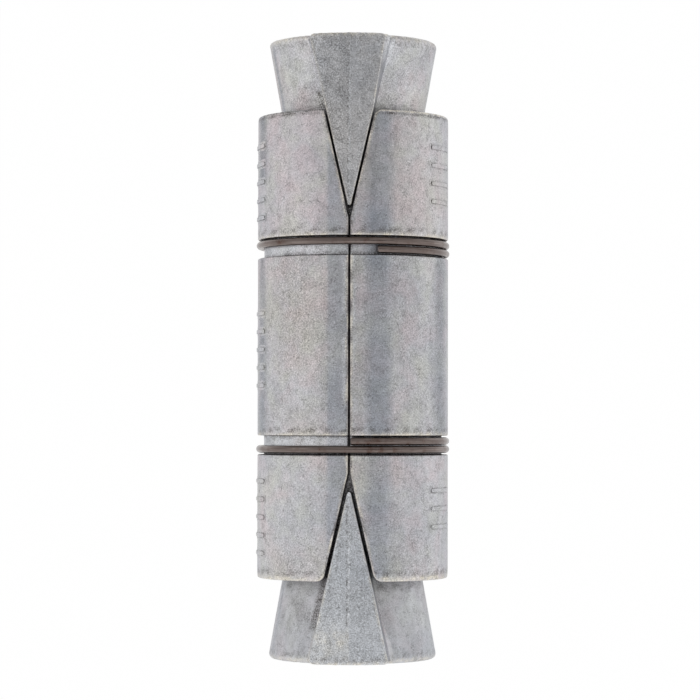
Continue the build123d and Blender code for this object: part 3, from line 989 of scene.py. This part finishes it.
def as_cast_zinc(name, colours, offset, fin_colour, grain_contrast):
    """Die-cast zinc alloy with its skin as it left the die: satin grey, with a fine salt and pepper
    grain, dark wiggly pits, faint draw marks along the axis, warm, rosy, yellowish and bluish
    patches, dirt and painted shade in its corners and gaps, edges rubbed bright, and painted
    highlights and a painted dark reflection where the marks call for them. The real grain is finer
    than 0.1 mm, too fine to show, and is drawn at 0.2 mm."""
    material = bpy.data.materials.new(name)
    tree = empty_tree(material)
    place = add_node(tree, "ShaderNodeTexCoord").outputs["Object"]
    place = add_node(tree, "ShaderNodeMapping", {"Vector": place, "Location": offset}).outputs[0]
    drawn = add_node(tree, "ShaderNodeMapping", {"Vector": place, "Scale": (1, 1, 0.09)}).outputs[0]
    wear, bright, shade, cool, rosy, grime = (
        add_node(tree, "ShaderNodeAttribute", attribute_name=mark).outputs["Fac"] for mark in MARKS
    )
    # Each noise's size is in millimetres
    patches, tarnish, mottle, grain, wiggles, spots, streaks = (
        add_node(
            tree,
            "ShaderNodeTexNoise",
            {"Vector": vector, "Scale": 1 / (size * MM), "Detail": detail, "Roughness": 0.6},
        ).outputs[0]
        for vector, size, detail in (
            (place, 12, 2.5),
            (place, 5, 2),
            (place, 1.5, 3),
            (place, 0.2, 1),
            (place, 0.55, 2),
            (place, 1.3, 2),
            (drawn, 1.3, 2),
        )
    )
    # A pit is a thin line where the wiggles' noise crosses its middle value, 0.5
    line, salt = (
        add_node(tree, "ShaderNodeMath", {0: noise, 1: 0.5}, operation="SUBTRACT").outputs[0]
        for noise in (wiggles, grain)
    )
    line = add_node(tree, "ShaderNodeMath", {0: line}, operation="ABSOLUTE").outputs[0]
    ranged = (
        add_node(tree, "ShaderNodeMapRange", {0: value, 1: low, 2: high, 3: at_low, 4: at_high}).outputs[0]
        for value, low, high, at_low, at_high in (
            (patches, 0.5, 0.7, 0.0, 0.25),
            (patches, 0.52, 0.34, 0.0, 0.6),
            (tarnish, 0.5, 0.68, 0.0, 0.45),
            (tarnish, 0.5, 0.34, 0.0, 0.45),
            (spots, 0.35, 0.6, 0.35, 1.0),
            (line, 0.0, 0.045, 1.0, 0.0),
            (spots, 0.48, 0.62, 0.08, 0.65),
            (grain, 0.62, 0.42, 0.35, 1.0),
        )
    )
    cool_patch, warm_share, rosy_patch, yellow_share, rub, line, pitted, speckle = ranged
    shares = (
        add_node(
            tree, "ShaderNodeMath", {0: mark, 1: times, 2: plus}, operation="MULTIPLY_ADD", use_clamp=True
        ).outputs[0]
        for mark, times, plus in (
            (cool, 0.95, cool_patch),
            (rosy, 0.25, rosy_patch),
            (bright, 0.85, 0.0),
            (wear, rub, 0.0),
            (line, pitted, 0.0),
            (grime, speckle, 0.0),
        )
    )
    cool_share, rosy_share, clean_and_highlight_share, rub_share, pit_share, dirt_and_shade_share = shares

    tone, streak, contrast, roughness = (
        add_node(tree, "ShaderNodeMapRange", {0: value, 1: low, 2: high, 3: at_low, 4: at_high}).outputs[0]
        for value, low, high, at_low, at_high in (
            (mottle, 0.3, 0.7, 0.9, 1.1),
            (streaks, 0.3, 0.7, -0.05, 0.05),
            (shade, 0.0, 1.0, grain_contrast, 1.55),
            (mottle, 0.3, 0.7, 0.3, 0.4),
        )
    )
    tone = add_node(
        tree, "ShaderNodeMath", {0: salt, 1: contrast, 2: tone}, operation="MULTIPLY_ADD"
    ).outputs[0]
    tone = add_node(tree, "ShaderNodeMath", {0: tone, 1: streak}, operation="ADD").outputs[0]
    skin = (*colours.zinc, 1)
    # Sheltered zinc also brings painted highlights, worn zinc the painted highlights on edges that face down,
    # and cool zinc the painted dark reflection down the shield's sides
    for share, tint in (
        (warm_share, colours.zinc_warm),
        (rosy_share, colours.zinc_rosy),
        (yellow_share, colours.zinc_yellow),
        (shade, fin_colour),
        (cool_share, colours.zinc_cool),
        (clean_and_highlight_share, colours.zinc_bright),
        (rub_share, colours.zinc_worn_and_highlight),
    ):
        inputs = {0: share, 6: skin, 7: (*tint, 1)}
        skin = add_node(tree, "ShaderNodeMix", inputs, data_type="RGBA").outputs[2]
    skin = add_node(tree, "ShaderNodeVectorMath", {0: skin, 3: tone}, operation="SCALE").outputs[0]
    # The dirt colour also lays the painted shade
    for share, tint in ((pit_share, colours.zinc_dark), (dirt_and_shade_share, colours.dirt_and_shade)):
        inputs = {0: share, 6: skin, 7: (*tint, 1)}
        skin = add_node(tree, "ShaderNodeMix", inputs, data_type="RGBA").outputs[2]

    height = grain
    for rough, share in ((mottle, 1.5), (pit_share, -0.6)):
        height = add_node(
            tree, "ShaderNodeMath", {0: rough, 1: share, 2: height}, operation="MULTIPLY_ADD"
        ).outputs[0]
    bump = add_node(tree, "ShaderNodeBump", {"Height": height, "Distance": 0.03 * MM}).outputs[0]
    metal = add_node(
        tree,
        "ShaderNodeBsdfPrincipled",
        {"Base Color": skin, "Metallic": 0.9, "Roughness": roughness, "Normal": bump},
    )
    metal.inputs["Specular Tint"].default_value = (0.8, 0.81, 0.83, 1)
    add_node(tree, "ShaderNodeOutputMaterial", {"Surface": metal.outputs[0]})
    return material


def drawn_steel(name, colours):
    """Steel wire as it left the drawing die, gone brown in store: fine lines along the wire, a
    dull sheen, rust in the lines and lighter rubbed spots."""
    material = bpy.data.materials.new(name)
    tree = empty_tree(material)
    place = add_node(tree, "ShaderNodeTexCoord").outputs["Object"]
    wound = add_node(tree, "ShaderNodeUVMap", uv_map="along_wire").outputs[0]
    # The UV map is in millimetres, and a drawing line is 6 mm long and 0.22 mm wide
    drawn = add_node(tree, "ShaderNodeMapping", {"Vector": wound, "Scale": (1 / 6, 1 / 0.22, 1)}).outputs[0]
    lines = add_node(tree, "ShaderNodeTexNoise", {"Vector": drawn, "Scale": 1.0, "Detail": 3}).outputs[0]
    spots = add_node(
        tree, "ShaderNodeTexNoise", {"Vector": place, "Scale": 1 / (1.8 * MM), "Detail": 4, "Roughness": 0.65}
    ).outputs[0]
    rub_share, rust_share, roughness = (
        add_node(tree, "ShaderNodeMapRange", {0: value, 1: low, 2: high, 3: at_low, 4: at_high}).outputs[0]
        for value, low, high, at_low, at_high in (
            (lines, 0.5, 0.7, 0.0, 0.7),
            (spots, 0.5, 0.7, 0.0, 0.7),
            (spots, 0.3, 0.7, 0.17, 0.3),
        )
    )
    skin = (*colours.wire, 1)
    for share, tint in ((rub_share, colours.wire_rubbed), (rust_share, colours.wire_rust)):
        inputs = {0: share, 6: skin, 7: (*tint, 1)}
        skin = add_node(tree, "ShaderNodeMix", inputs, data_type="RGBA").outputs[2]
    bump = add_node(tree, "ShaderNodeBump", {"Height": lines, "Distance": 0.015 * MM}).outputs[0]
    metal = add_node(
        tree,
        "ShaderNodeBsdfPrincipled",
        {"Base Color": skin, "Metallic": 1.0, "Roughness": roughness, "Normal": bump},
    )
    add_node(tree, "ShaderNodeOutputMaterial", {"Surface": metal.outputs[0]})
    return material


def white_paper(name):
    """Matt white backdrop paper. Lamps and shadows show on it a little, and the eye, and metal that
    mirrors it, mostly see plain white."""
    plain_white = 0.995
    material = bpy.data.materials.new(name)
    tree = empty_tree(material)
    path = add_node(tree, "ShaderNodeLightPath").outputs
    seen = path["Is Camera Ray"]
    for kind in ("Is Glossy Ray", "Is Transmission Ray"):
        seen = add_node(tree, "ShaderNodeMath", {0: seen, 1: path[kind]}, operation="MAXIMUM").outputs[0]
    share = add_node(tree, "ShaderNodeMath", {0: seen, 1: plain_white}, operation="MULTIPLY").outputs[0]
    paper = add_node(tree, "ShaderNodeBsdfDiffuse", {"Color": (0.9, 0.9, 0.9, 1)}).outputs[0]
    glow = add_node(tree, "ShaderNodeEmission", {"Color": (1, 1, 1, 1), "Strength": 1.0}).outputs[0]
    mixed = add_node(tree, "ShaderNodeMixShader", {0: share, 1: paper, 2: glow}).outputs[0]
    add_node(tree, "ShaderNodeOutputMaterial", {"Surface": mixed})
    return material


def studio_world(name):
    """The room that the metal mirrors. Its brightness goes round with the compass direction, dim at
    the front and bright at the sides, then evens out with height to a soft ceiling."""
    world = bpy.data.worlds.new(name)
    tree = empty_tree(world)
    ray = add_node(tree, "ShaderNodeTexCoord").outputs["Generated"]
    parts = add_node(tree, "ShaderNodeSeparateXYZ", {0: ray}).outputs
    to_front = add_node(tree, "ShaderNodeMath", {0: parts[1], 1: -1.0}, operation="MULTIPLY").outputs[0]
    turn = add_node(tree, "ShaderNodeMath", {0: parts[0], 1: to_front}, operation="ARCTAN2").outputs[0]
    turn = add_node(tree, "ShaderNodeMapRange", {0: turn, 1: -pi, 2: pi}).outputs[0]
    upwards = add_node(tree, "ShaderNodeMapRange", {0: parts[2], 1: -1.0, 2: 1.0}).outputs[0]
    shades = []
    for place, stops in ((turn, ROOM_BY_COMPASS), (upwards, ROOM_BY_HEIGHT)):
        node = add_node(tree, "ShaderNodeValToRGB", {0: place})
        gradient = node.color_ramp
        gradient.interpolation = "EASE"
        low, high = stops[0][0], stops[-1][0]
        for index, (position, value) in enumerate(stops):
            share = (position - low) / (high - low)
            stop = gradient.elements[index] if index < 2 else gradient.elements.new(share)
            stop.position = share
            stop.color = (value, value, value, 1)
        shades.append(node.outputs[0])
    evenness = add_node(
        tree, "ShaderNodeMapRange", {0: parts[2], 1: 0.05, 2: 0.32}, interpolation_type="SMOOTHSTEP"
    ).outputs[0]
    inputs = {0: evenness, 6: shades[0], 7: shades[1]}
    room = add_node(tree, "ShaderNodeMix", inputs, data_type="RGBA").outputs[2]
    background = add_node(tree, "ShaderNodeBackground", {"Color": room})
    add_node(tree, "ShaderNodeOutputWorld", {"Surface": background.outputs[0]})
    return world


class ANCHOR_OT_shield_halves(Operator):
    """Adds the two cast shield halves"""

    bl_idname = "anchor.shield_halves"
    bl_label = "Shield halves"

    def execute(self, context):
        sizes, colours = context.scene.anchor_sizes, context.scene.anchor_colours
        usual, crisp = sizes.mouth_radius, sizes.crisp_mouth_radius
        left_mouths, right_mouths = ((usual, crisp), (usual, usual)), ((usual, usual), (usual, usual))
        left_look, right_look = (look_of(SHIELD_LOOKS, index) for index in (0, 1))
        for name, body, side, seed, mouths, offset, look in (
            ("shield_half_skin_left", "left_shell", -1, 3, left_mouths, (0, 0, 0), left_look),
            ("shield_half_skin_right", "right_shell", 1, 8, right_mouths, (0.3, 0.1, 0.2), right_look),
        ):
            metal = as_cast_zinc(f"as_cast_zinc_{body}", colours, offset, colours.upper_fin, 1.2)
            piece = add_piece(name, half_surfaces(sizes, mouths, seed, side, look), metal)
            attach(piece, body)
            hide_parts("shield_half_left" if side < 0 else "shield_half_right")
        return {"FINISHED"}


class ANCHOR_OT_raised_bars(Operator):
    """Adds the plain raised bars on both shield halves"""

    bl_idname = "anchor.raised_bars"
    bl_label = "Raised bars"

    def execute(self, context):
        sizes = context.scene.anchor_sizes
        # Each group is the height of its middle in millimetres and its number of bars
        for name, body, side, around, groups in (
            ("raised_bars_left", "left_shell", -1, 77, ((77, 5), (50, 5), (23, 5))),
            ("raised_bars_right", "right_shell", 1, 69, ((78, 4), (24.5, 3))),
        ):
            heights = [
                middle * MM + (index - (count - 1) / 2) * sizes.bar_pitch
                for middle, count in groups
                for index in range(count)
            ]
            metal = bpy.data.materials[f"as_cast_zinc_{body}"]
            piece = add_piece(name, bar_surfaces(sizes, around, heights, side), metal)
            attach(piece, body)
        return {"FINISHED"}


class ANCHOR_OT_cones(Operator):
    """Adds the threaded cone below and the plain cone above, each with its two fins"""

    bl_idname = "anchor.cones"
    bl_label = "Expander cones"

    def execute(self, context):
        sizes, colours = context.scene.anchor_sizes, context.scene.anchor_colours
        lower_look, upper_look = (look_of(CONE_LOOKS, index) for index in (0, 1))
        upper_metal = as_cast_zinc(
            "as_cast_zinc_plain_cone", colours, (0.7, 0.4, 0.5), colours.upper_fin, 1.2
        )
        lower_metal = as_cast_zinc(
            "as_cast_zinc_threaded_cone", colours, (0.2, 0.6, 0.8), colours.lower_fin, 0.5
        )
        chamfer = sizes.thread_chamfer
        lower = cone_surfaces(sizes, sizes.thread_core_radius, chamfer, chamfer, True, 5, lower_look)
        chamfer = sizes.plain_bore_chamfer
        upper = cone_surfaces(sizes, sizes.plain_bore_radius, chamfer, 0.0, False, 6, upper_look)
        for facing, flare_side in ((-1, 1), (1, -1)):
            lower += fin_surface(sizes, facing, flare_side, sizes.lower_tip_radius, 40 + facing, lower_look)
            upper += fin_surface(sizes, facing, flare_side, sizes.upper_tip_radius, 50 + facing, upper_look)
        for name, body, node, surfaces, metal in (
            ("cone_skin_threaded", "threaded_cone", "threaded_expander_cone", lower, lower_metal),
            ("cone_skin_plain", "plain_cone", "plain_expander_cone", turn_over(upper), upper_metal),
        ):
            piece = add_piece(name, surfaces, metal)
            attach(piece, body)
            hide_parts(node)
        return {"FINISHED"}


class ANCHOR_OT_wire_rings(Operator):
    """Adds the two rings of steel wire; on the real anchor they open as the shield halves part"""

    bl_idname = "anchor.wire_rings"
    bl_label = "Wire rings"

    def execute(self, context):
        sizes, colours = context.scene.anchor_sizes, context.scene.anchor_colours
        steel = drawn_steel("drawn_steel_wire", colours)
        for name, node, level, start, upside_down in (
            ("wire_ring_lower", "lower_wire_ring", GROOVE_LEVELS[0], sizes.lower_ring_start, True),
            ("wire_ring_upper", "upper_wire_ring", GROOVE_LEVELS[1], sizes.upper_ring_start, False),
        ):
            piece = add_piece(name, [ring_surface(sizes, level, start, upside_down)], steel)
            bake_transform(piece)
            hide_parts(node)
        return {"FINISHED"}


class ANCHOR_OT_stage(Operator):
    """Adds the paper backdrop, the lamps, the world and the camera"""

    bl_idname = "anchor.stage"
    bl_label = "Stage, lamps and camera"

    def execute(self, context):
        scene = context.scene
        front_y, wall_y, wall_top, half_width, bend_radius = -3.0, 1.6, 3.0, 3.0, 0.7
        below_foot = 0.02 * MM
        bend = sweep_steps(24, 0, pi / 2)
        x = sweep_steps(2, -half_width, half_width)[None, :]
        y = np.concatenate([[front_y], wall_y - bend_radius + bend_radius * np.sin(bend), [wall_y]])
        z = np.concatenate([[0.0], bend_radius - bend_radius * np.cos(bend), [wall_top]]) - below_foot
        paper = add_piece(
            "paper_backdrop", [surface(x, y[:, None], z[:, None])], white_paper("white_backdrop_paper")
        )

        scene.world = studio_world("studio_room")
        for name, aside in (("softbox_left", -0.7), ("softbox_right", 0.7)):
            add_softbox(scene, name, (aside, -0.35, 0.15), (0, 0, 0.05))
        scene.view_settings.view_transform = "Standard"
        add_camera(scene)
        return {"FINISHED"}


def add_softbox(scene, name, spot, aim):
    """A square soft lamp at a spot, turned towards what it is aimed at."""
    lamp = bpy.data.lights.new(name, "AREA")
    lamp.size = 0.6
    lamp.energy = 0.25
    holder = bpy.data.objects.new(name, lamp)
    scene.collection.objects.link(holder)
    across, deep, up = np.array(aim) - np.array(spot)
    yaw = atan2(deep, across) - pi / 2
    pitch = atan2(up, np.hypot(across, deep))
    holder.matrix_world = (
        Matrix.Translation(spot) @ Matrix.Rotation(yaw, 4, "Z") @ Matrix.Rotation(pi / 2 + pitch, 4, "X")
    )


def add_camera(scene):
    """The camera stands a little right of the front, low and some way off, and looks slightly up."""
    distance = 475 * MM
    height = 38 * MM
    around = radians(2.2)
    aside = radians(0.056)
    look_up = radians(1.453)
    roll = radians(0.105)
    camera = bpy.data.cameras.new("camera")
    camera.sensor_width = 36
    camera.lens = 150
    camera.clip_start = 0.01
    holder = bpy.data.objects.new("camera", camera)
    scene.collection.objects.link(holder)
    spot = (distance * sin(around), -distance * cos(around), height)
    holder.matrix_world = (
        Matrix.Translation(spot)
        @ Matrix.Rotation(around + aside, 4, "Z")
        @ Matrix.Rotation(pi / 2 + look_up, 4, "X")
        @ Matrix.Rotation(roll, 4, "Z")
    )
    scene.camera = holder


class ANCHOR_PT_panel(Panel):
    """Lists the sizes, the colours and the steps that build the anchor"""

    bl_label = "Expansion Shield Anchor"
    bl_idname = "ANCHOR_PT_panel"
    bl_space_type = "VIEW_3D"
    bl_region_type = "UI"
    bl_category = "Anchor"

    def draw(self, context):
        layout = self.layout
        for step in STEPS:
            layout.operator(step.bl_idname)
        for group in (context.scene.anchor_sizes, context.scene.anchor_colours):
            box = layout.box()
            for name in type(group).__annotations__:
                box.prop(group, name)


STEPS = (
    ANCHOR_OT_shield_halves,
    ANCHOR_OT_raised_bars,
    ANCHOR_OT_cones,
    ANCHOR_OT_wire_rings,
    ANCHOR_OT_stage,
)
CLASSES = (AnchorSizes, AnchorColours, *STEPS, ANCHOR_PT_panel)


def register():
    for item in CLASSES:
        bpy.utils.register_class(item)
    bpy.types.Scene.anchor_sizes = PointerProperty(type=AnchorSizes)
    bpy.types.Scene.anchor_colours = PointerProperty(type=AnchorColours)


def unregister():
    del bpy.types.Scene.anchor_colours
    del bpy.types.Scene.anchor_sizes
    for item in reversed(CLASSES):
        bpy.utils.unregister_class(item)


def main():
    register()
    bpy.ops.anchor.shield_halves()
    bpy.ops.anchor.raised_bars()
    bpy.ops.anchor.cones()
    bpy.ops.anchor.wire_rings()
    bpy.ops.anchor.stage()


if __name__ == "__main__":
    main()
